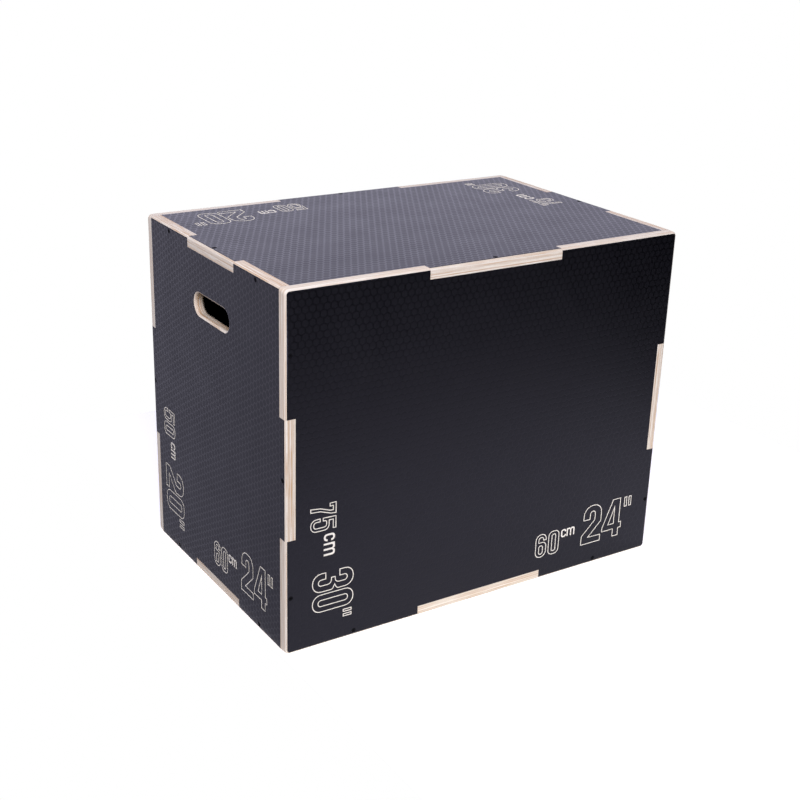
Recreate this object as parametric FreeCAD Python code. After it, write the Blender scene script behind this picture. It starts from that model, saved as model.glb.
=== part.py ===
import FreeCAD, Part
import os
from FreeCAD import Placement, Rotation, Vector

# A three-height plyometric box in film-faced birch plywood. Six boards meet in finger joints that are
# screwed together, and a brace board stands in the middle of the box. The origin is under the middle
# of the box, on the surface that it stands on. X runs along the box, Y from front to back, Z up.

# Outside size of the box: its three jumping heights
LENGTH = 750.0
DEPTH = 500.0
HEIGHT = 600.0

# Boards: a birch core with a phenolic film pressed on each side
BOARD = 18.0
FILM = 0.4

# Finger joints: one tab in the middle of each edge, by the direction that the edge runs in
TAB_ALONG_X = 254.0
TAB_ALONG_Y = 168.0
TAB_ALONG_Z = 200.0
JOINT_PLAY = 0.15

# Every outer edge of the closed box is rounded by the router. The corners of the front and the back panel
# are rounder by an extra radius, which eases off over the thickness of the panel.
EDGE_ROUND = 5.0
CORNER_EXTRA = 4.0

# Handle slot through the left and the right panel
SLOT_LENGTH = 126.0
SLOT_HEIGHT = 36.0
SLOT_DROP = 104.0
SLOT_ROUND = 5.0

# Countersunk wood screws, one in each finger, with heads a little below the film
SCREW_LENGTH = 45.0
SCREW_SHANK = 4.0
SCREW_HEAD = 8.0
SCREW_HEAD_HEIGHT = 2.2
SCREW_POINT = 6.0
SCREW_SINK = 0.3
SCREW_PLAY = 0.1
DRIVE_SPAN = 4.0
DRIVE_WIDTH = 1.1
DRIVE_DEPTH = 1.6

# The brace has a tongue on each edge, held in a blind pocket in the panel that it meets
POCKET_DEPTH = 5.0
POCKET_PLAY = 0.2

X = Vector(1, 0, 0)
Y = Vector(0, 1, 0)
Z = Vector(0, 0, 1)
CENTRE = Vector(0, 0, HEIGHT / 2)
HALF_SIZE = Vector(LENGTH / 2, DEPTH / 2, HEIGHT / 2)
TABS = Vector(TAB_ALONG_X, TAB_ALONG_Y, TAB_ALONG_Z)
OUTWARD = {"front": -Y, "back": Y, "left": -X, "right": X, "top": Z, "bottom": -Z}
HANDLE_PANELS = ("left", "right")

# Top and bottom put tabs over all their neighbours, left and right over front and back
TAB_RANK = Vector(2, 1, 3)


def along(sizes, axis):
    """The size that belongs to an axis, whichever way the axis points."""
    return abs(sizes.dot(axis))


def has_tab(outward, toward):
    """True where a panel reaches over its neighbour with a tab, False where it is notched for one."""
    return along(TAB_RANK, outward) > along(TAB_RANK, toward)


def plane_axes(outward):
    """The two axes that lie in a panel."""
    return [axis for axis in (X, Y, Z) if axis.dot(outward) == 0]


def edge_levels(outward, toward):
    """How far a panel reaches towards a neighbour in its middle finger and in its outer fingers."""
    outer = along(HALF_SIZE, toward)
    inner = outer - BOARD
    if has_tab(outward, toward):
        return outer, inner
    return inner, outer


def finger_half(outward, toward, edge):
    """Half the length of the middle finger on the edge that faces a neighbour."""
    half = along(TABS, edge) / 2
    if has_tab(outward, toward):
        return half
    return half + JOINT_PLAY


def stepped_board(face_centre, outward, levels, halves):
    """A board with a step in the middle of each edge, from one quarter of its outline."""
    first, second = plane_axes(outward)
    first_middle, first_outer = levels[0]
    second_middle, second_outer = levels[1]
    first_half, second_half = halves
    quarter = [
        (first_middle, second_half),
        (first_outer, second_half),
        (first_outer, second_outer),
        (first_half, second_outer),
        (first_half, second_middle),
    ]
    corners = []
    for first_sign, second_sign, order in ((1, 1, 1), (-1, 1, -1), (-1, -1, 1), (1, -1, -1)):
        for a, b in quarter[::order]:
            corners.append(face_centre + first * (first_sign * a) + second * (second_sign * b))
    face = Part.Face(Part.makePolygon(corners + corners[:1]))
    return face.extrude(outward * -BOARD)


def panel_blank(outward):
    """One panel of the shell with its tabs and notches, before its edges are rounded."""
    first, second = plane_axes(outward)
    face_centre = CENTRE + outward * along(HALF_SIZE, outward)
    levels = [edge_levels(outward, first), edge_levels(outward, second)]
    halves = [finger_half(outward, second, first), finger_half(outward, first, second)]
    return stepped_board(face_centre, outward, levels, halves)


def front_outline(y, radius):
    """The outline of the box as it is seen from the front, at one depth, with rounded corners."""
    directions = [X, Z, -X, -Z]
    arcs = []
    for first, second in zip(directions, directions[1:] + directions[:1]):
        centre = CENTRE + Y * y
        for direction in (first, second):
            centre += direction * (along(HALF_SIZE, direction) - radius)
        diagonal = (first + second).normalize()
        arcs.append(Part.Arc(centre + first * radius, centre + diagonal * radius, centre + second * radius))
    edges = []
    for arc, following in zip(arcs, arcs[1:] + arcs[:1]):
        edges.append(arc.toShape())
        edges.append(Part.LineSegment(arc.EndPoint, following.StartPoint).toShape())
    return Part.Wire(edges)


def rounded_block():
    """The whole box as one block with its outer edges and corners rounded, which trims every panel."""
    face_y = DEPTH / 2
    eased_y = face_y - BOARD
    corner_round = EDGE_ROUND + CORNER_EXTRA
    sections = [
        (-face_y, corner_round),
        (-eased_y, EDGE_ROUND),
        (eased_y, EDGE_ROUND),
        (face_y, corner_round),
    ]
    block = Part.makeLoft([front_outline(y, radius) for y, radius in sections], True, True)
    front_and_back = [face for face in block.Faces if face.BoundBox.YLength < FILM]
    rims = [edge for face in front_and_back for edge in face.Edges]
    return block.makeFillet(EDGE_ROUND, rims)


def slot_cutter(outward, centre):
    """A slot with round ends that passes through a panel."""
    end_radius = SLOT_HEIGHT / 2
    straight = SLOT_LENGTH / 2 - end_radius
    ends = {side: centre + Y * (side * straight) for side in (-1, 1)}
    edges = [
        Part.LineSegment(ends[-1] + Z * end_radius, ends[1] + Z * end_radius).toShape(),
        Part.Arc(ends[1] + Z * end_radius, ends[1] + Y * end_radius, ends[1] - Z * end_radius).toShape(),
        Part.LineSegment(ends[1] - Z * end_radius, ends[-1] - Z * end_radius).toShape(),
        Part.Arc(ends[-1] - Z * end_radius, ends[-1] - Y * end_radius, ends[-1] + Z * end_radius).toShape(),
    ]
    return Part.Face(Part.Wire(edges)).extrude(outward * -BOARD)


def with_handle_slot(board, outward):
    """Cuts the handle slot and rounds its rim on both faces of the board."""
    centre = CENTRE + outward * along(HALF_SIZE, outward) + Z * (HEIGHT / 2 - SLOT_DROP)
    slot = slot_cutter(outward, centre)
    board = board.cut(slot)
    rim = []
    for edge in board.Edges:
        inside = slot.BoundBox.isInside(edge.BoundBox)
        lies_in_face = edge.BoundBox.XLength < BOARD / 2
        if inside and lies_in_face:
            rim.append(edge)
    return board.makeFillet(SLOT_ROUND, rim)


def screw_turned(play):
    """A countersunk screw turned about its axis, head first along Z, grown all round by a play."""
    head_radius = SCREW_HEAD / 2 + play
    shank_radius = SCREW_SHANK / 2 + play
    tip = SCREW_SINK + SCREW_LENGTH
    profile = [
        Vector(0, 0, SCREW_SINK),
        Vector(head_radius, 0, SCREW_SINK),
        Vector(shank_radius, 0, SCREW_SINK + SCREW_HEAD_HEIGHT),
        Vector(shank_radius, 0, tip - SCREW_POINT),
        Vector(0, 0, tip + play),
    ]
    outline = Part.Face(Part.makePolygon(profile + profile[:1]))
    return outline.revolve(Vector(), Z, 360)


def screw_solid():
    """One screw with the cross recess that drives it."""
    screw = screw_turned(0)
    for length, width in ((DRIVE_SPAN, DRIVE_WIDTH), (DRIVE_WIDTH, DRIVE_SPAN)):
        corner = Vector(-length / 2, -width / 2, SCREW_SINK)
        screw = screw.cut(Part.makeBox(length, width, DRIVE_DEPTH, corner))
    return screw


def screw_hole():
    """The hole for one screw, open at the face of the board."""
    mouth = Part.makeCylinder(SCREW_HEAD / 2 + SCREW_PLAY, 2 * SCREW_SINK, Vector(0, 0, -SCREW_SINK))
    return screw_turned(SCREW_PLAY).fuse(mouth)


def screw_places(outward):
    """Where screws enter one panel: the middle of each finger that covers a neighbour's edge."""
    first, second = plane_axes(outward)
    face_centre = CENTRE + outward * along(HALF_SIZE, outward)
    places = []
    for toward, edge in ((first, second), (-first, second), (second, first), (-second, first)):
        row = face_centre + toward * (along(HALF_SIZE, toward) - BOARD / 2)
        if has_tab(outward, toward):
            places.append(row)
        else:
            outer_reach = edge_levels(outward, edge)[1]
            middle = (along(TABS, edge) / 2 + outer_reach) / 2
            places.append(row + edge * middle)
            places.append(row - edge * middle)
    return places


def driven(pattern, outward):
    """Copies of a screw or of its hole at every place on one panel, pointing into the box."""
    turn = Rotation(Z, -outward)
    copies = []
    for place in screw_places(outward):
        copy = pattern.copy()
        copy.Placement = Placement(place, turn)
        copies.append(copy)
    return copies


def brace_blank():
    """The brace across the middle of the box, with a tongue on each edge."""
    levels = []
    halves = []
    for axis in plane_axes(X):
        inside = along(HALF_SIZE, axis) - BOARD
        levels.append((inside + POCKET_DEPTH - POCKET_PLAY, inside))
        halves.append(along(TABS, axis) / 2)
    return stepped_board(CENTRE + X * (BOARD / 2), X, levels, halves)


def brace_pocket(outward):
    """The blind pocket for a tongue of the brace, in a panel's inner face."""
    edge = Y if outward.dot(Y) == 0 else Z
    half_width = X * (BOARD / 2 + POCKET_PLAY)
    half_run = edge * (along(TABS, edge) / 2 + POCKET_PLAY)
    mouth = CENTRE + outward * (along(HALF_SIZE, outward) - BOARD)
    corners = [
        mouth - half_width - half_run,
        mouth + half_width - half_run,
        mouth + half_width + half_run,
        mouth - half_width + half_run,
    ]
    return Part.Face(Part.makePolygon(corners + corners[:1])).extrude(outward * POCKET_DEPTH)


def layer(board, face_centre, outward, start, end):
    """The part of a board that lies between two depths below one of its faces."""
    reach = LENGTH + DEPTH + HEIGHT
    first, second = plane_axes(outward)
    corner = face_centre - (first + second) * reach - outward * start
    corners = [
        corner,
        corner + first * 2 * reach,
        corner + (first + second) * 2 * reach,
        corner + second * 2 * reach,
    ]
    slab = Part.Face(Part.makePolygon(corners + corners[:1])).extrude(outward * (start - end))
    return board.common(slab)


def save(name, shapes):
    """Writes one node: a single solid, or a group of separate solids."""
    solids = [solid for shape in shapes for solid in shape.Solids]
    node = solids[0] if len(solids) == 1 else Part.makeCompound(solids)
    node.exportStep(os.path.join("parts", name + ".step"))
    print(name, len(solids), "solids", round(node.Volume), "mm3", "valid" if node.isValid() else "NOT VALID")


def save_board(names, board, face_centre, outward):
    """Writes a board as its outer film, its birch core and its inner film."""
    depths = (0, FILM, BOARD - FILM, BOARD)
    for name, start, end in zip(names, depths, depths[1:]):
        save(name, [layer(board, face_centre, outward, start, end)])


def build_panels():
    """The six panels with their screws."""
    trim = rounded_block()
    screw = screw_solid()
    hole = screw_hole()
    holes = [copy for outward in OUTWARD.values() for copy in driven(hole, outward)]
    for side, outward in OUTWARD.items():
        panel = side + "_panel"
        board = panel_blank(outward).common(trim)
        if side in HANDLE_PANELS:
            board = with_handle_slot(board, outward)
        else:
            board = board.cut(brace_pocket(outward))
        board = board.cut([cutter for cutter in holes if cutter.BoundBox.intersect(board.BoundBox)])
        names = [panel + "_outer_film", panel + "_core", panel + "_inner_film"]
        save_board(names, board, CENTRE + outward * along(HALF_SIZE, outward), outward)
        save(panel + "_screws", driven(screw, outward))


def build_brace():
    """The brace board, held by its tongues alone."""
    names = ["brace_right_film", "brace_core", "brace_left_film"]
    save_board(names, brace_blank(), CENTRE + X * (BOARD / 2), X)


os.makedirs("parts", exist_ok=True)
build_panels()
build_brace()
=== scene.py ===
import math

import bpy
from mathutils import Matrix, Vector


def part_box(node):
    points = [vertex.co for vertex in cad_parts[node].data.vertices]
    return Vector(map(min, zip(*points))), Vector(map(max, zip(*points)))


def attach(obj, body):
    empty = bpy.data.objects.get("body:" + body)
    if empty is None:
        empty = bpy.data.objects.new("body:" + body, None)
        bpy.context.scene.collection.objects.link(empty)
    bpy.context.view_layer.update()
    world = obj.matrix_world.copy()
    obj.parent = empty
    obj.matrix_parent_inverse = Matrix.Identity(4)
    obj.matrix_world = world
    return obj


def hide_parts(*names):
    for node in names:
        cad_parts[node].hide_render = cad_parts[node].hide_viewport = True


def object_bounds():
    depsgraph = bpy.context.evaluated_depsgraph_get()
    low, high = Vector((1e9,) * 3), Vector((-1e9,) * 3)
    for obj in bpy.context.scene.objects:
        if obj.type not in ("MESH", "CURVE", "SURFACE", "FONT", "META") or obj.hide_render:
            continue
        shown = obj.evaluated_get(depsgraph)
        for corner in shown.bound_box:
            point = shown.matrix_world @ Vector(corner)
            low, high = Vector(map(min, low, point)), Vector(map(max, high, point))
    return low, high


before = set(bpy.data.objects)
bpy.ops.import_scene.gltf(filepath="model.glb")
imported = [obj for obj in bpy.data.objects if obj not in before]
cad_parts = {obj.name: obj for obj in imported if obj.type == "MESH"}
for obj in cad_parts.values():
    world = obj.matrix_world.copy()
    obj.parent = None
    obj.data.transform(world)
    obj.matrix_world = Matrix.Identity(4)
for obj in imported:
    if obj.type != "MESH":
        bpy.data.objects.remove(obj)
cad_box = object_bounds()

# The looks of a three-height plyometric box in film-faced birch plywood. The outer film of each panel is
# pressed with hexagons and has the box's heights engraved through it, so that the birch shows. Shapes
# drawn on a panel are in millimetres, and their place in the model is worked out from the frame.

MM = 0.001
X = Vector((1, 0, 0))
Y = Vector((0, 1, 0))
Z = Vector((0, 0, 1))

# Each side of the box as someone facing it sees it: the way to the right and the way up
SIDES = {
    "front": (X, Z),
    "back": (-X, Z),
    "left": (-Y, Z),
    "right": (Y, Z),
    "top": (X, Y),
    "bottom": (X, -Y),
}

# Opposite panels are the same board turned round, so three kinds of board make the box
BOARD_KIND = {
    "front": "long",
    "back": "long",
    "left": "end",
    "right": "end",
    "top": "flat",
    "bottom": "flat",
}

# A board is a birch core of thin plies between two films, in millimetres
FILM = (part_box("front_panel_outer_film")[1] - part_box("front_panel_outer_film")[0]).y / MM
CORE = (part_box("front_panel_core")[1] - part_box("front_panel_core")[0]).y / MM
PLIES = 9
PLY = CORE / PLIES

# Sizes of the film's pattern, in millimetres. The cells' tops lie a hair under the film's face, and the
# pattern's backing is thicker than the film, so that one cuts the other cleanly.
CELL_PITCH = 12.1
CELL_GROOVE = 2.6
CELL_RELIEF = 0.1
CELL_WELD = 0.01
PATTERN_BACKING = 2.0
PATTERN_SINK = 0.004

# Sizes of the engraving, in millimetres. The tool reaches right through the film.
ENGRAVED_LINE = 1.5
CUT_REACH = 1.0
LABEL_MARGIN = 40.0

# Vertices closer than this are one, in millimetres, and an arc is drawn in this many steps
WELD = 0.001
ARC_STEPS = 5

# The film's finishes by material slot: its two films, the second of which is glossier and has painted shade
# in the grooves between the hexagons, and the wood that the engraving lays bare
CELL_SLOT = 0
LINE_SLOT = 1
WOOD_SLOT = 2

# Engraved figures: width and height of the figure, then its outlines as corners with their radius.
# The corners lie in the middle of the engraved line.
FIGURES = {
    "0": (34.5, 78.0, [
        [(1.2, 1.2, 15.0), (33.3, 1.2, 15.0), (33.3, 76.8, 15.0), (1.2, 76.8, 15.0)],
        [(11.5, 11.5, 5.4), (23.0, 11.5, 5.4), (23.0, 66.5, 5.4), (11.5, 66.5, 5.4)],
    ]),
    "2": (46.5, 78.0, [
        [
            (1.2, 1.2, 0), (45.3, 1.2, 0), (45.3, 13.0, 0), (16.5, 13.8, 0), (44.8, 41.5, 6.0),
            (44.8, 76.8, 18.0), (4.2, 76.8, 18.0), (4.2, 50.0, 0), (18.8, 49.6, 0), (18.8, 65.0, 5.2),
            (30.2, 65.0, 5.2), (30.2, 46.4, 5.0), (1.2, 18.5, 6.0),
        ],
    ]),
    "3": (35.5, 78.5, [
        [
            (1.2, 52.0, 0), (1.2, 77.3, 15.5), (34.3, 77.3, 15.5), (34.3, 46.6, 5.0), (26.0, 42.4, 0),
            (34.3, 38.2, 5.0), (34.3, 1.2, 15.5), (1.2, 1.2, 15.5), (1.2, 25.6, 0), (12.4, 25.6, 0),
            (12.4, 12.0, 5.3), (23.4, 12.0, 5.3), (23.4, 36.2, 7.0), (12.4, 36.2, 0), (12.4, 43.4, 0),
            (23.2, 43.4, 7.0), (23.2, 66.0, 5.3), (12.4, 66.0, 5.3), (12.4, 52.0, 0),
        ],
    ]),
    "4": (47.0, 78.0, [
        [
            (23.2, 76.8, 0), (40.4, 76.8, 0), (40.4, 27.4, 0), (45.8, 27.4, 0), (45.8, 16.2, 0),
            (39.8, 16.2, 0), (39.8, 1.2, 0), (27.2, 1.2, 0), (27.2, 16.2, 0), (1.2, 16.2, 0), (1.2, 24.0, 0),
        ],
        [(27.8, 61.0, 0), (14.8, 27.2, 0), (27.8, 27.2, 0)],
    ]),
    "5": (25.0, 48.5, [
        [
            (2.0, 47.3, 0), (23.4, 47.3, 0), (23.0, 42.4, 0), (7.2, 42.4, 0), (7.0, 34.9, 0),
            (23.8, 34.9, 9.0), (23.8, 1.2, 10.5), (1.2, 1.2, 10.5), (1.2, 18.4, 0), (6.4, 18.4, 0),
            (6.4, 6.8, 4.6), (18.0, 6.8, 4.6), (18.0, 30.2, 4.6), (6.8, 30.2, 3.0), (6.4, 24.0, 0),
            (1.2, 24.0, 0),
        ],
    ]),
    "6": (26.0, 49.0, [
        [
            (1.2, 1.2, 11.0), (24.8, 1.2, 11.0), (24.8, 31.0, 8.5), (7.8, 31.0, 0), (7.8, 41.8, 5.0),
            (18.6, 41.8, 5.0), (18.6, 35.2, 0), (24.8, 35.2, 0), (24.8, 47.8, 11.0), (1.2, 47.8, 11.0),
        ],
        [(8.6, 7.2, 4.2), (17.4, 7.2, 4.2), (17.4, 24.6, 4.2), (8.6, 24.6, 4.2)],
    ]),
    "7": (20.4, 48.5, [
        [
            (1.2, 47.3, 0), (19.2, 47.3, 0), (18.4, 38.0, 8.0), (11.8, 18.7, 16.0), (10.6, 1.2, 0),
            (4.9, 1.2, 0), (6.9, 18.7, 16.0), (13.2, 36.4, 8.0), (13.6, 42.2, 0), (6.2, 42.2, 0),
            (6.2, 36.3, 0), (1.2, 36.3, 0),
        ],
    ]),
    "inch": (17.7, 20.5, [
        [(1.2, 19.3, 0), (6.2, 19.3, 0), (6.2, 1.2, 0), (1.2, 1.2, 0)],
        [(11.5, 19.3, 0), (16.5, 19.3, 0), (16.5, 1.2, 0), (11.5, 1.2, 0)],
    ]),
}

# The letters of the unit are engraved solid, so their corners lie on their edge
LETTERS = {
    "c": (13.0, 20.0, [
        [
            (9.6, 13.2, 0), (13.0, 13.2, 0), (13.0, 20.0, 6.0), (0, 20.0, 6.0), (0, 0, 6.0), (13.0, 0, 6.0),
            (13.0, 6.8, 0), (9.6, 6.8, 0), (9.6, 3.4, 2.6), (3.4, 3.4, 2.6), (3.4, 16.6, 2.6),
            (9.6, 16.6, 2.6),
        ],
    ]),
    "m": (22.5, 20.0, [
        [
            (0, 0, 0), (0, 20.0, 0), (9.5, 20.0, 3.0), (11.3, 17.4, 0), (13.5, 20.0, 2.5), (22.5, 20.0, 5.0),
            (22.5, 0, 0), (19.1, 0, 0), (19.1, 16.6, 2.6), (13.0, 16.6, 2.6), (13.0, 0, 0), (9.6, 0, 0),
            (9.6, 16.6, 2.6), (3.4, 16.6, 2.6), (3.4, 0, 0),
        ],
    ]),
}

# Each label from its right end: figure, left edge, foot, width and height
LABELS = {
    "60 cm 24 in": [
        ("6", -219.5, 1.4, 24.8, 46.4), ("0", -191.0, 1.6, 24.2, 46.2), ("c", -163.0, 29.2, 11.6, 15.8),
        ("m", -150.2, 29.2, 17.6, 15.8), ("2", -116.6, 0.8, 46.0, 76.6), ("4", -69.0, 1.0, 46.5, 76.4),
        ("inch", -20.3, 55.6, 17.7, 20.5),
    ],
    "75 cm 30 in": [
        ("7", -209.6, 2.6, 20.6, 47.0), ("5", -186.5, 2.6, 23.2, 47.0), ("c", -156.5, 27.1, 12.6, 20.0),
        ("m", -140.4, 27.1, 21.8, 20.0), ("3", -89.9, 6.4, 34.7, 76.2), ("0", -52.3, 6.4, 32.8, 76.2),
        ("inch", -14.4, 63.0, 14.2, 16.6),
    ],
    "50 cm 20 in": [
        ("5", -224.0, 1.5, 24.0, 46.8), ("0", -197.5, 1.5, 25.0, 46.8), ("c", -163.6, 27.0, 12.2, 19.0),
        ("m", -149.4, 27.0, 16.6, 19.0), ("2", -114.0, 1.0, 46.0, 77.0), ("0", -65.8, 1.0, 39.6, 77.0),
        ("inch", -23.8, 55.0, 17.6, 20.5),
    ],
}

# On the flat boards the last label's inch mark stands further out
LABELS["50 cm 20 in, wider"] = LABELS["50 cm 20 in"][:-1] + [("inch", -19.0, 55.0, 17.6, 20.5)]

# Which labels a board carries, how far each is turned, in degrees anticlockwise, and how far it is shifted
# to the right and up. A label stands in the lower right corner once the box is turned so that it reads
# upright.
BOARD_LABELS = {
    "long": [("60 cm 24 in", 0, 0, 0), ("75 cm 30 in", -90, 0, 0)],
    "end": [("60 cm 24 in", 0, 0, 2.0), ("50 cm 20 in", -90, 0, 0)],
    "flat": [("50 cm 20 in, wider", 180, -2.0, 0), ("75 cm 30 in", 90, 0, 0)],
}


# Modelling tools

def deselect():
    """Leaves object mode with nothing selected."""
    if bpy.context.object and bpy.context.object.mode != "OBJECT":
        bpy.ops.object.mode_set(mode="OBJECT")
    bpy.ops.object.select_all(action="DESELECT")


def choose(*objects):
    """Selects these objects only, with the first one active."""
    deselect()
    for each in objects:
        each.select_set(True)
    bpy.context.view_layer.objects.active = objects[0]


def apply_modifier(piece, kind, **settings):
    """Adds one modifier to a piece and applies it."""
    choose(piece)
    modifier = piece.modifiers.new(kind.lower(), kind)
    for name, value in settings.items():
        setattr(modifier, name, value)
    bpy.ops.object.modifier_apply(modifier=modifier.name)


def merge_doubles(piece):
    """Welds the vertices of a mesh that lie on each other."""
    choose(piece)
    bpy.ops.object.mode_set(mode="EDIT")
    bpy.ops.mesh.select_all(action="SELECT")
    bpy.ops.mesh.remove_doubles(threshold=WELD * MM)
    bpy.ops.object.mode_set(mode="OBJECT")


def remove(*objects):
    """Deletes helper objects."""
    choose(*objects)
    bpy.ops.object.delete()


def place_on(piece, matrix):
    """Moves a mesh to its place in the model and leaves its object at the origin."""
    choose(piece)
    piece.matrix_world = matrix
    bpy.ops.object.transform_apply(location=True, rotation=True, scale=True)


def cover(piece, *finishes):
    """Gives a piece its materials."""
    piece.data.materials.clear()
    for finish in finishes:
        piece.data.materials.append(finish)


def half_extent(direction):
    """Half the size of the box along a direction."""
    low, high = cad_box
    return abs((high - low).dot(direction)) / 2


def face_frame(side):
    """The matrix that carries a drawing in metres onto a side of the box, seen from outside."""
    low, high = cad_box
    right, up = SIDES[side]
    outward = right.cross(up)
    centre = (low + high) / 2 + outward * half_extent(outward)
    return Matrix.Translation(centre) @ Matrix((right, up, outward)).transposed().to_4x4()


# Engraving

def rounded_outline(corners):
    """The points of a closed outline, with an arc at each corner that has a radius."""
    points = []
    for before, corner, after in zip(corners[-1:] + corners[:-1], corners, corners[1:] + corners[:1]):
        place = Vector(corner[:2])
        radius = corner[2]
        if not radius:
            points.append(place)
            continue
        to_before = (Vector(before[:2]) - place).normalized()
        to_after = (Vector(after[:2]) - place).normalized()
        half_angle = to_before.angle(to_after) / 2
        centre = place + (to_before + to_after).normalized() * (radius / math.sin(half_angle))
        start = place + to_before * (radius / math.tan(half_angle)) - centre
        end = place + to_after * (radius / math.tan(half_angle)) - centre
        sweep = start.angle_signed(end)
        for step in range(ARC_STEPS + 1):
            turn = Matrix.Rotation(-sweep * step / ARC_STEPS, 2)
            points.append(centre + turn @ start)
    return points


def draw(name, outlines, filled):
    """A mesh drawn through closed outlines: a solid letter, or a wall along each line."""
    curve = bpy.data.curves.new(name, "CURVE")
    curve.dimensions = "2D"
    curve.fill_mode = "BOTH" if filled else "NONE"
    curve.extrude = CUT_REACH * MM
    for points in outlines:
        spline = curve.splines.new("POLY")
        spline.points.add(len(points) - 1)
        for target, point in zip(spline.points, points):
            target.co = (point.x * MM, point.y * MM, 0, 1)
        spline.use_cyclic_u = True
    drawn = bpy.data.objects.new(name, curve)
    bpy.context.scene.collection.objects.link(drawn)
    choose(drawn)
    bpy.ops.object.convert(target="MESH")
    merge_doubles(drawn)
    return drawn


def figure_cutter(figure, left, foot, width, height):
    """The tool that engraves one figure, with its foot and left edge where the label puts them."""
    filled = figure in LETTERS
    own_width, own_height, outlines = LETTERS[figure] if filled else FIGURES[figure]
    across = width / own_width
    upward = height / own_height
    shaped = []
    for corners in outlines:
        scaled = [(left + x * across, foot + y * upward, r * min(across, upward)) for x, y, r in corners]
        shaped.append(rounded_outline(scaled))
    cutter = draw("engraved_" + figure, shaped, filled)
    if not filled:
        apply_modifier(cutter, "SOLIDIFY", thickness=ENGRAVED_LINE * MM, offset=0, use_even_offset=True)
    return cutter


def label_cutter(side, label, turn, shift_right, shift_up):
    """The tools for one label, joined and placed in its corner of the side."""
    tools = [figure_cutter(*entry) for entry in LABELS[label]]
    choose(*tools)
    bpy.ops.object.join()
    cutter = bpy.context.object
    right, up = SIDES[side]
    upright = turn % 180 == 0
    along = half_extent(right if upright else up)
    across = half_extent(up if upright else right)
    corner = Matrix.Translation((
        along - (LABEL_MARGIN - shift_right) * MM, (LABEL_MARGIN + shift_up) * MM - across, 0,
    ))
    place_on(cutter, face_frame(side) @ Matrix.Rotation(math.radians(turn), 4, "Z") @ corner)
    return cutter


# Embossed film

def hexagon_block(side, finishes):
    """A thick sheet with the film's raised hexagons on its outer side, placed over a side of the box."""
    right, up = SIDES[side]
    turned = BOARD_KIND[side] == "end"
    width = half_extent(up if turned else right) * 2
    height = half_extent(right if turned else up) * 2
    pitch = CELL_PITCH * MM
    row = pitch * math.sqrt(3) / 2
    columns = math.ceil(width / pitch) + 2
    row_pairs = math.ceil(height / row / 2) + 1
    deselect()
    bpy.ops.mesh.primitive_circle_add(vertices=6, radius=pitch / math.sqrt(3), fill_type="NGON")
    block = bpy.context.object
    cover(block, *finishes)
    for count, step in ((columns, (pitch, 0, 0)), (2, (pitch / 2, row, 0)), (row_pairs, (0, 2 * row, 0))):
        apply_modifier(
            block, "ARRAY", count=count, use_relative_offset=False, use_constant_offset=True,
            constant_offset_displace=step, use_merge_vertices=True, merge_threshold=CELL_WELD * MM,
        )
    bpy.ops.object.mode_set(mode="EDIT")
    bpy.ops.mesh.select_all(action="SELECT")
    bpy.ops.mesh.remove_doubles(threshold=CELL_WELD * MM)
    bpy.ops.mesh.inset(use_individual=True, thickness=CELL_GROOVE / 2 * MM, depth=CELL_RELIEF * MM)
    bpy.ops.object.mode_set(mode="OBJECT")
    # The grooves between the hexagons take the second film, whose darker tone is painted shade
    for face in block.data.polygons:
        face.material_index = CELL_SLOT if face.select else LINE_SLOT
    bpy.ops.object.mode_set(mode="EDIT")
    bpy.ops.mesh.select_all(action="DESELECT")
    bpy.ops.mesh.select_mode(type="EDGE")
    bpy.ops.mesh.select_non_manifold()
    bpy.ops.mesh.extrude_edges_move(TRANSFORM_OT_translate={"value": (0, 0, -PATTERN_BACKING * MM)})
    bpy.ops.mesh.edge_face_add()
    bpy.ops.mesh.select_all(action="SELECT")
    bpy.ops.mesh.normals_make_consistent(inside=False)
    bpy.ops.object.mode_set(mode="OBJECT")
    to_middle = Vector((-(columns - 0.5) * pitch / 2, -(row_pairs * 2 - 1) * row / 2, 0))
    level = Vector((0, 0, -(CELL_RELIEF + PATTERN_SINK) * MM))
    quarter = Matrix.Rotation(math.radians(90 if turned else 0), 4, "Z")
    place_on(block, face_frame(side) @ quarter @ Matrix.Translation(to_middle + level))
    return block


def engraved_film(side, finishes):
    """The outer film of one panel, pressed with hexagons and engraved with its heights."""
    node = side + "_panel_outer_film"
    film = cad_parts[node].copy()
    film.data = film.data.copy()
    film.name = side + "_panel_engraved_film"
    film.parent = None
    for key in list(film.keys()):
        del film[key]
    bpy.context.scene.collection.objects.link(film)
    cover(film, *finishes)
    merge_doubles(film)
    tools = [(hexagon_block(side, finishes), "INTERSECT")]
    for label in BOARD_LABELS[BOARD_KIND[side]]:
        cutter = label_cutter(side, *label)
        cover(cutter, finishes[WOOD_SLOT])
        tools.append((cutter, "DIFFERENCE"))
    for tool, operation in tools:
        apply_modifier(film, "BOOLEAN", operation=operation, object=tool, solver="MANIFOLD")
    remove(*[tool for tool, operation in tools])
    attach(film, "root")
    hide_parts(node)


# Sizes of the surfaces' own patterns, in millimetres. The film's grain, the plies and the glue lines are
# drawn coarser than they are, so that they show.
CLOUD = 60.0
FILM_GRAIN = 1.5
PAPER_MOTTLE = 25.0
STREAK_LENGTH = 45.0
STREAK_WIDTH = 1.1
PATCH_LENGTH = 70.0
GLUE_LINE = 0.25
FIBRE_HEIGHT = 0.04
COAT_SPOT = 1.5

# Plies are counted from just outside the film, and fresh wood shows down to just under the core's face
FACE_LEEWAY = 0.05
FACE_SKIN = FILM + FACE_LEEWAY

# How far the wood's pattern moves on from ply to ply, in patches, and from board to board, in plies
PLY_SHIFT = 2.3
BOARD_SHIFT = 58.0

# The part of each noise over which gloss, dark patches and streaks fade in
CLOUD_FADE = (0.3, 0.7)
PATCH_FADE = (0.38, 0.62)
STREAK_FADE = (0.35, 1.0)

# How much the plies differ in shade, and how dark a dark patch is where its grain runs along the face
PLY_SHADE = 0.4
LEAST_END_GRAIN = 0.3


# Materials

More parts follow.
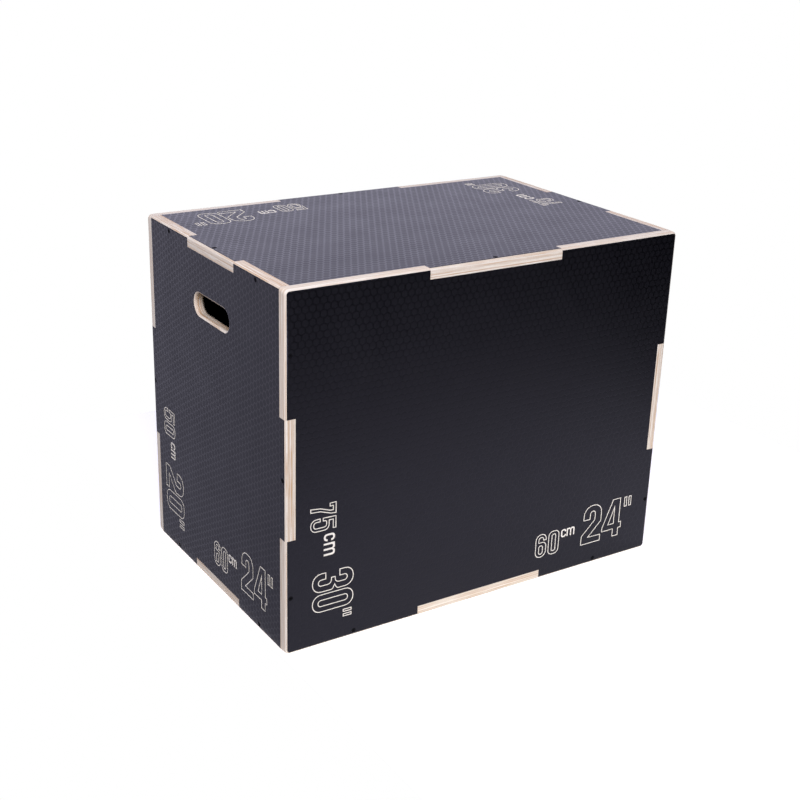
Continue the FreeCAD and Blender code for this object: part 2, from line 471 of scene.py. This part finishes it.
def linear(hex_colour):
    """A colour in the shader's linear values from its sRGB hex code."""
    channels = [int(hex_colour[i:i + 2], 16) / 255 for i in (1, 3, 5)]
    return [c / 12.92 if c <= 0.04045 else ((c + 0.055) / 1.055) ** 2.4 for c in channels] + [1.0]


def add_node(tree, kind, inputs=None, **settings):
    """Adds one node with its settings. An input is a value, or the output of another node."""
    node = tree.nodes.new(kind)
    for name, value in settings.items():
        setattr(node, name, value)
    for socket, value in (inputs or {}).items():
        if isinstance(value, bpy.types.NodeSocket):
            tree.links.new(value, node.inputs[socket])
        else:
            node.inputs[socket].default_value = value
    return node


def new_material(name):
    """An empty material, with its shader and coordinates in millimetres from the middle of the box."""
    material = bpy.data.materials.new(name)
    material.use_nodes = True
    tree = material.node_tree
    shader = tree.nodes["Principled BSDF"]
    place = add_node(tree, "ShaderNodeTexCoord")
    metres = place.outputs["Object"]
    middle = (cad_box[0] + cad_box[1]) / 2
    in_mm = add_node(tree, "ShaderNodeMapping", {
        "Vector": metres, "Location": -middle / MM, "Scale": (1 / MM,) * 3,
    })
    return material, tree, shader, in_mm.outputs[0]


def phenolic_film(name, tones, roughness, grain_height):
    """Phenolic film pressed on the boards: nearly black, satin, a little cloudy, with a fine grain and a
    faintly blue sheen."""
    material, tree, shader, place = new_material(name)
    cloud = add_node(tree, "ShaderNodeTexNoise", {"Vector": place, "Scale": 1 / CLOUD, "Detail": 3.0})
    tone = add_node(tree, "ShaderNodeMix", {
        "Factor": cloud.outputs[0], 6: linear(tones[0]), 7: linear(tones[1]),
    }, data_type="RGBA")
    tree.links.new(tone.outputs[2], shader.inputs["Base Color"])
    grain = add_node(tree, "ShaderNodeTexNoise", {"Vector": place, "Scale": 1 / FILM_GRAIN, "Detail": 2.0})
    gloss = add_node(tree, "ShaderNodeMapRange", {
        "Value": cloud.outputs[0], "From Min": CLOUD_FADE[0], "From Max": CLOUD_FADE[1],
        "To Min": roughness[0], "To Max": roughness[1],
    })
    tree.links.new(gloss.outputs[0], shader.inputs["Roughness"])
    bump = add_node(tree, "ShaderNodeBump", {"Height": grain.outputs[0], "Distance": grain_height * MM})
    tree.links.new(bump.outputs[0], shader.inputs["Normal"])
    shader.inputs["IOR"].default_value = 1.5
    shader.inputs["Specular IOR Level"].default_value = 0.26
    shader.inputs["Specular Tint"].default_value = linear("#f0eeff")
    return material


def smooth_phenolic_film():
    """Plain phenolic film on the inside of the boards: dark brown, smooth, with a faint paper mottle."""
    material, tree, shader, place = new_material("smooth_phenolic_film")
    cloud = add_node(tree, "ShaderNodeTexNoise", {"Vector": place, "Scale": 1 / PAPER_MOTTLE, "Detail": 4.0})
    tone = add_node(tree, "ShaderNodeMix", {
        "Factor": cloud.outputs[0], 6: linear("#17120f"), 7: linear("#241b16"),
    }, data_type="RGBA")
    tree.links.new(tone.outputs[2], shader.inputs["Base Color"])
    gloss = add_node(tree, "ShaderNodeMapRange", {"Value": cloud.outputs[0], "To Min": 0.25, "To Max": 0.4})
    tree.links.new(gloss.outputs[0], shader.inputs["Roughness"])
    return material


def birch_plywood(name, thickness_axis, grain_axis, stripes):
    """Birch plywood with routed edges: cream plies of crossed grain, darker where a ply shows its end grain,
    and pale, freshly cut wood where the film is engraved."""
    material, tree, shader, place = new_material(name)
    level = add_node(tree, "ShaderNodeVectorMath", {0: place, 1: thickness_axis}, operation="DOT_PRODUCT")
    height = add_node(tree, "ShaderNodeMath", {0: level.outputs["Value"]}, operation="ABSOLUTE")
    core_face = half_extent(thickness_axis) / MM - FILM
    depth = add_node(tree, "ShaderNodeMath", {
        0: core_face + FACE_SKIN, 1: height.outputs[0],
    }, operation="SUBTRACT")
    plies = add_node(tree, "ShaderNodeMath", {0: depth.outputs[0], 1: PLY}, operation="DIVIDE")
    number = add_node(tree, "ShaderNodeMath", {0: plies.outputs[0]}, operation="FLOOR")
    crossed = add_node(tree, "ShaderNodeMath", {0: number.outputs[0], 1: 1.0}, operation="PINGPONG")
    board = add_node(tree, "ShaderNodeMath", {0: level.outputs["Value"], 1: 0.0}, operation="GREATER_THAN")
    ply_seed = add_node(tree, "ShaderNodeMath", {
        0: board.outputs[0], 1: BOARD_SHIFT, 2: number.outputs[0],
    }, operation="MULTIPLY_ADD")
    normal = add_node(tree, "ShaderNodeNewGeometry").outputs["Normal"]
    streaks = []
    ends = []
    for axis in (grain_axis, thickness_axis.cross(grain_axis)):
        stretch = [1 / STREAK_LENGTH if along else 1 / STREAK_WIDTH for along in axis]
        fibres = add_node(tree, "ShaderNodeMapping", {"Vector": place, "Scale": stretch})
        streak = add_node(tree, "ShaderNodeTexNoise", {
            "Vector": fibres.outputs[0], "Scale": 1.0, "Detail": 3.0,
        })
        streaks.append(streak.outputs[0])
        facing = add_node(tree, "ShaderNodeVectorMath", {0: normal, 1: axis}, operation="DOT_PRODUCT")
        end = add_node(tree, "ShaderNodeMath", {0: facing.outputs["Value"]}, operation="ABSOLUTE")
        ends.append(end.outputs[0])
    figure = add_node(tree, "ShaderNodeMix", {"Factor": crossed.outputs[0], 2: streaks[0], 3: streaks[1]})
    end_grain = add_node(tree, "ShaderNodeMix", {"Factor": crossed.outputs[0], 2: ends[0], 3: ends[1]})
    flattened = add_node(tree, "ShaderNodeMapping", {
        "Vector": place, "Scale": [(1 - across) / PATCH_LENGTH for across in thickness_axis],
    })
    ply_shift = add_node(tree, "ShaderNodeVectorMath", {
        0: thickness_axis * PLY_SHIFT, "Scale": ply_seed.outputs[0],
    }, operation="SCALE")
    in_ply = add_node(tree, "ShaderNodeVectorMath", {0: flattened.outputs[0], 1: ply_shift.outputs[0]})
    patch = add_node(tree, "ShaderNodeTexNoise", {"Vector": in_ply.outputs[0], "Scale": 1.0, "Detail": 2.0})
    patch_share = add_node(tree, "ShaderNodeMapRange", {
        "Value": patch.outputs[0], "From Min": PATCH_FADE[0], "From Max": PATCH_FADE[1], "To Max": stripes,
    })
    shade = add_node(tree, "ShaderNodeTexWhiteNoise", {"W": ply_seed.outputs[0]}, noise_dimensions="1D")
    blend = add_node(tree, "ShaderNodeMath", {
        0: shade.outputs["Value"], 1: PLY_SHADE, 2: figure.outputs[0],
    }, operation="MULTIPLY_ADD")
    streak_tone = add_node(tree, "ShaderNodeMapRange", {
        "Value": blend.outputs[0], "From Min": STREAK_FADE[0], "From Max": STREAK_FADE[1],
    })
    wood = add_node(tree, "ShaderNodeMix", {
        "Factor": streak_tone.outputs[0], 6: linear("#ebe7d0"), 7: linear("#d2c5a6"),
    }, data_type="RGBA")
    darkening = add_node(tree, "ShaderNodeMapRange", {
        "Value": end_grain.outputs[0], "To Min": LEAST_END_GRAIN,
    })
    end_share = add_node(tree, "ShaderNodeMath", {
        0: darkening.outputs[0], 1: patch_share.outputs[0],
    }, operation="MULTIPLY")
    grained = add_node(tree, "ShaderNodeMix", {
        "Factor": end_share.outputs[0], 6: wood.outputs[2], 7: linear("#c0904e"),
    }, data_type="RGBA")
    into_ply = add_node(tree, "ShaderNodeMath", {0: plies.outputs[0]}, operation="FRACT")
    glue = add_node(tree, "ShaderNodeMath", {
        0: into_ply.outputs[0], 1: 1 - GLUE_LINE / PLY,
    }, operation="GREATER_THAN")
    glue_share = add_node(tree, "ShaderNodeMath", {
        0: glue.outputs[0], 1: patch_share.outputs[0],
    }, operation="MULTIPLY")
    colour = add_node(tree, "ShaderNodeMix", {
        "Factor": glue_share.outputs[0], 6: grained.outputs[2], 7: linear("#8a6a4e"),
    }, data_type="RGBA")
    engraved = add_node(tree, "ShaderNodeMath", {
        0: depth.outputs[0], 1: FACE_SKIN + FACE_LEEWAY,
    }, operation="LESS_THAN")
    fresh = add_node(tree, "ShaderNodeMix", {
        "Factor": engraved.outputs[0], 6: colour.outputs[2], 7: linear("#e8e4ce"),
    }, data_type="RGBA")
    tree.links.new(fresh.outputs[2], shader.inputs["Base Color"])
    bump = add_node(tree, "ShaderNodeBump", {"Height": figure.outputs[0], "Distance": FIBRE_HEIGHT * MM})
    tree.links.new(bump.outputs[0], shader.inputs["Normal"])
    shader.inputs["Roughness"].default_value = 0.62
    shader.inputs["IOR"].default_value = 1.45
    return material


def phosphated_steel():
    """Black phosphated wood screws: a porous coat, almost black and very dull, with faint grey spots."""
    material, tree, shader, place = new_material("black_phosphated_steel")
    spots = add_node(tree, "ShaderNodeTexNoise", {"Vector": place, "Scale": 1 / COAT_SPOT, "Detail": 2.0})
    tone = add_node(tree, "ShaderNodeMix", {
        "Factor": spots.outputs[0], 6: linear("#070708"), 7: linear("#101011"),
    }, data_type="RGBA")
    tree.links.new(tone.outputs[2], shader.inputs["Base Color"])
    shader.inputs["Specular IOR Level"].default_value = 0.1
    shader.inputs["Roughness"].default_value = 0.75
    return material


# Studio, in metres. Its flash light is a little cool, and its floor glows white.
LIGHT_COLOUR = "#e9e6ff"
WHITE = "#ffffff"
FLOOR_MIDDLE = (0.295, -0.125, -0.0002)
FLOOR_SIZE = (1.35, 1.85)
FLOOR_GLOW = 0.42

# Glows of the surroundings: the way to their middle, the cosine where they fade out, and their strength
GLOWS = [((0.53, 0.82, 0.22), 0.2, 1.68), ((-0.51, 0.78, -0.37), 0.1, 0.49)]

# Softboxes: their name, place, target, size, and power in watts
SOFTBOXES = [
    ("key_softbox", (-1.0, -3.2, 2.5), (0, 0, 0.3), 1.6, 152),
    ("side_softbox", (-3.2, -1.2, 2.0), (0, 0, 0.3), 1.6, 80),
    ("top_softbox", (0.2, -0.5, 3.4), (0.2, -0.4, 0), 2.0, 12),
]


def studio_floor():
    """A sheet of white acrylic under the box, lit a little from below so that shadows stay faint."""
    deselect()
    bpy.ops.mesh.primitive_plane_add(size=1)
    floor = bpy.context.object
    floor.name = "studio_floor"
    place_on(floor, Matrix.Translation(FLOOR_MIDDLE) @ Matrix.Diagonal((*FLOOR_SIZE, 1, 1)))
    material, tree, shader, place = new_material("white_acrylic")
    shader.inputs["Base Color"].default_value = linear("#f4f4f4")
    shader.inputs["Roughness"].default_value = 0.9
    shader.inputs["Emission Color"].default_value = linear(WHITE)
    shader.inputs["Emission Strength"].default_value = FLOOR_GLOW
    cover(floor, material)


def studio_world():
    """Soft light from behind the box, strongest on the right, in front of a white background."""
    world = bpy.data.worlds.new("studio")
    bpy.context.scene.world = world
    world.use_nodes = True
    tree = world.node_tree
    direction = add_node(tree, "ShaderNodeTexCoord").outputs["Generated"]
    total = 0.0
    for middle, fade, strength in GLOWS:
        toward = add_node(tree, "ShaderNodeVectorMath", {0: direction, 1: middle}, operation="DOT_PRODUCT")
        glow = add_node(tree, "ShaderNodeMapRange", {
            "Value": toward.outputs["Value"], "From Min": fade, "From Max": 1.0, "To Max": strength,
        }, interpolation_type="SMOOTHSTEP")
        total = add_node(tree, "ShaderNodeMath", {0: glow.outputs[0], 1: total}).outputs[0]
    seen = add_node(tree, "ShaderNodeLightPath").outputs["Is Camera Ray"]
    strength = add_node(tree, "ShaderNodeMix", {"Factor": seen, 2: total, 3: 1.0})
    tree.links.new(strength.outputs[0], tree.nodes["Background"].inputs["Strength"])
    colour = add_node(tree, "ShaderNodeMix", {
        "Factor": seen, 6: linear(LIGHT_COLOUR), 7: linear(WHITE),
    }, data_type="RGBA")
    tree.links.new(colour.outputs[2], tree.nodes["Background"].inputs["Color"])


def softbox(name, place, target, size, power):
    """A square area light that points at a target."""
    light = bpy.data.lights.new(name, "AREA")
    light.shape = "SQUARE"
    light.size = size
    light.energy = power
    light.color = linear(LIGHT_COLOUR)[:3]
    lamp = bpy.data.objects.new(name, light)
    lamp.location = place
    lamp.rotation_euler = (Vector(target) - Vector(place)).to_track_quat("-Z", "Y").to_euler()
    bpy.context.scene.collection.objects.link(lamp)


# The camera stands in front of the box on its left and looks down on it a little. Its place is in metres,
# its angles are in degrees, and its lens and sensor are in millimetres.
CAMERA_PLACE = (-1.22574, -1.86349, 1.15666)
CAMERA_AZIMUTH = 33.0713
CAMERA_ELEVATION = 21.5579
CAMERA_ROLL = 1.7766
CAMERA_LENS = 60.369
SENSOR = 36.0


def camera():
    """The camera at the viewing angle of the photograph."""
    data = bpy.data.cameras.new("camera")
    data.sensor_width = SENSOR
    data.lens = CAMERA_LENS
    view = bpy.data.objects.new("camera", data)
    turn = Matrix.Rotation(math.radians(-CAMERA_AZIMUTH), 4, "Z")
    tilt = Matrix.Rotation(math.radians(90 - CAMERA_ELEVATION), 4, "X")
    roll = Matrix.Rotation(math.radians(CAMERA_ROLL), 4, "Z")
    view.matrix_world = Matrix.Translation(CAMERA_PLACE) @ turn @ tilt @ roll
    bpy.context.scene.collection.objects.link(view)
    bpy.context.scene.camera = view


# Dressing the box

film_finishes = [
    phenolic_film(
        "grained_phenolic_film", tones=("#060608", "#0a0a0b"), roughness=(0.44, 0.48), grain_height=0.012,
    ),
    # The second film covers the grooves between the hexagons: it is glossier, and its darker tone is painted
    # shade in the grooves
    phenolic_film(
        "burnished_film_with_painted_groove_shade", tones=("#040405", "#060607"), roughness=(0.32, 0.36), grain_height=0.004,
    ),
]
inner_finish = smooth_phenolic_film()
screw_finish = phosphated_steel()
birch = {
    "long": birch_plywood("birch_plywood_long_boards", thickness_axis=Y, grain_axis=X, stripes=0.4),
    "end": birch_plywood("birch_plywood_end_boards", thickness_axis=X, grain_axis=Z, stripes=0.8),
    "flat": birch_plywood("birch_plywood_flat_boards", thickness_axis=Z, grain_axis=X, stripes=0.5),
}

for side in SIDES:
    panel = side + "_panel"
    engraved_film(side, film_finishes + [birch[BOARD_KIND[side]]])
    cover(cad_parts[panel + "_outer_film"], film_finishes[CELL_SLOT])
    cover(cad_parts[panel + "_inner_film"], inner_finish)
    cover(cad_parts[panel + "_core"], birch[BOARD_KIND[side]])
    cover(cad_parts[panel + "_screws"], screw_finish)

cover(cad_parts["brace_core"], birch["end"])
for film in ("brace_left_film", "brace_right_film"):
    cover(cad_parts[film], inner_finish)

studio_floor()
studio_world()
for setting in SOFTBOXES:
    softbox(*setting)
camera()
bpy.context.scene.view_settings.view_transform = "Standard"

deselect()
